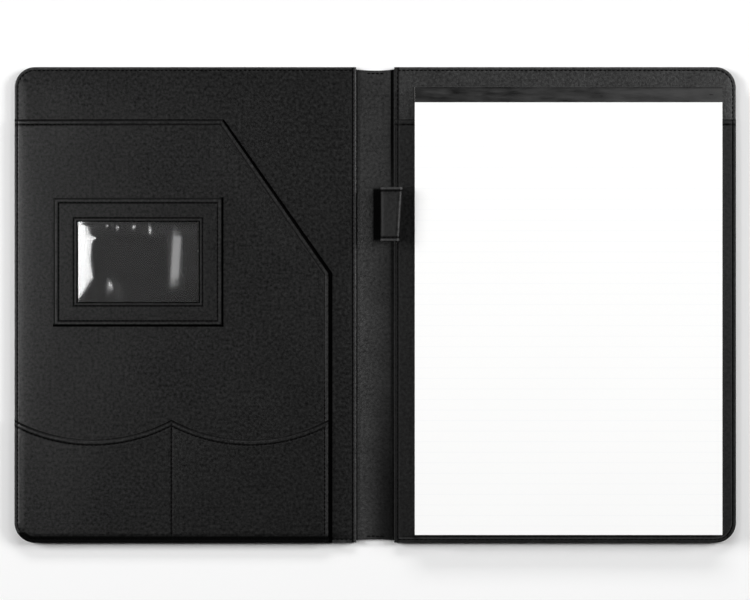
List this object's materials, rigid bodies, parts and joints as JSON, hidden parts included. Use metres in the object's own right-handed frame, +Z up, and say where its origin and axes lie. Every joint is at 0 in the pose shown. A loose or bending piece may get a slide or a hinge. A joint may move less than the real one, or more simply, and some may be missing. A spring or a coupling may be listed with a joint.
{
  "type": "multi-pocket folder",
  "caption": "Padded leather-look folder that opens flat: document pocket, scalloped card pockets, clear card window, pen loop and a bound writing pad that slides behind a panel.",
  "frame": {"origin": "middle of the open folder's footprint, on the table", "axes": "+X to the right, from the pockets to the pad; +Y to the head of the pages; +Z up from the table"},
  "size_m": [0.494, 0.3258, 0.0211],
  "materials": {
    "skin": "fine-grained black leather look, satin",
    "lining": "fine-grained black leather look, satin",
    "thread": "black sewing thread",
    "board": "grey-brown pressed board",
    "foam": "thin dark padding foam",
    "film": "clear soft film, glossy and slightly wavy",
    "paper": "white writing paper, faintly ruled",
    "glue": "dried padding glue",
    "tape": "dark glossy binding tape"
  },
  "bodies": {
    "back_cover": {"back_skin": "skin", "back_foam": "foam", "back_board": "board", "back_lining": "lining", "back_outer_stitching": "thread", "back_edge_stitching": "thread", "pad_pocket": "lining", "pad_pocket_stitching": "thread"},
    "spine": {"spine_skin": "skin", "spine_stiffener": "board", "spine_lining": "lining", "spine_stitching": "thread"},
    "front_cover": {"front_skin": "skin", "front_foam": "foam", "front_board": "board", "front_lining": "lining", "front_outer_stitching": "thread", "front_edge_stitching": "thread", "document_pocket": "lining", "document_pocket_stitching": "thread", "card_pocket": "lining", "card_pocket_stitching": "thread", "window_film": "film", "window_frame": "lining", "window_stitching": "thread"},
    "pen_loop": {"pen_loop": "skin", "pen_loop_stitching": "thread"},
    "writing_pad": {"pad_backboard": "board", "pad_sheets": "paper", "pad_glue": "glue", "pad_binding_tape": "tape"},
    "top_sheet": {"top_sheet": "paper"}
  },
  "joints": [
    {"name": "spine_fold", "type": "hinge", "parent": "back_cover", "child": "spine", "pos_m": [0.0114, 0, 0.0008], "axis": [0, 1, 0], "range_deg": [0, 90]},
    {"name": "cover_fold", "type": "hinge", "parent": "spine", "child": "front_cover", "pos_m": [-0.0114, 0, 0.0008], "axis": [0, 1, 0], "range_deg": [0, 90]},
    {"name": "pen_loop_lean", "type": "hinge", "parent": "back_cover", "child": "pen_loop", "pos_m": [0.0142, 0.06185, 0.0049], "axis": [0, 1, 0], "range_deg": [0, 47]},
    {"name": "pad_slide", "type": "slide", "parent": "back_cover", "child": "writing_pad", "axis": [0, 1, 0], "range_m": [0, 0.285]},
    {"name": "sheet_turn", "type": "hinge", "parent": "writing_pad", "child": "top_sheet", "pos_m": [0.132, 0.1382, 0.01197], "axis": [-1, 0, 0], "range_deg": [0, 172]}
  ],
  "couplings": [
    {"joint": "pen_loop_lean", "follows": "spine_fold", "ratio": 0.5222}
  ]
}
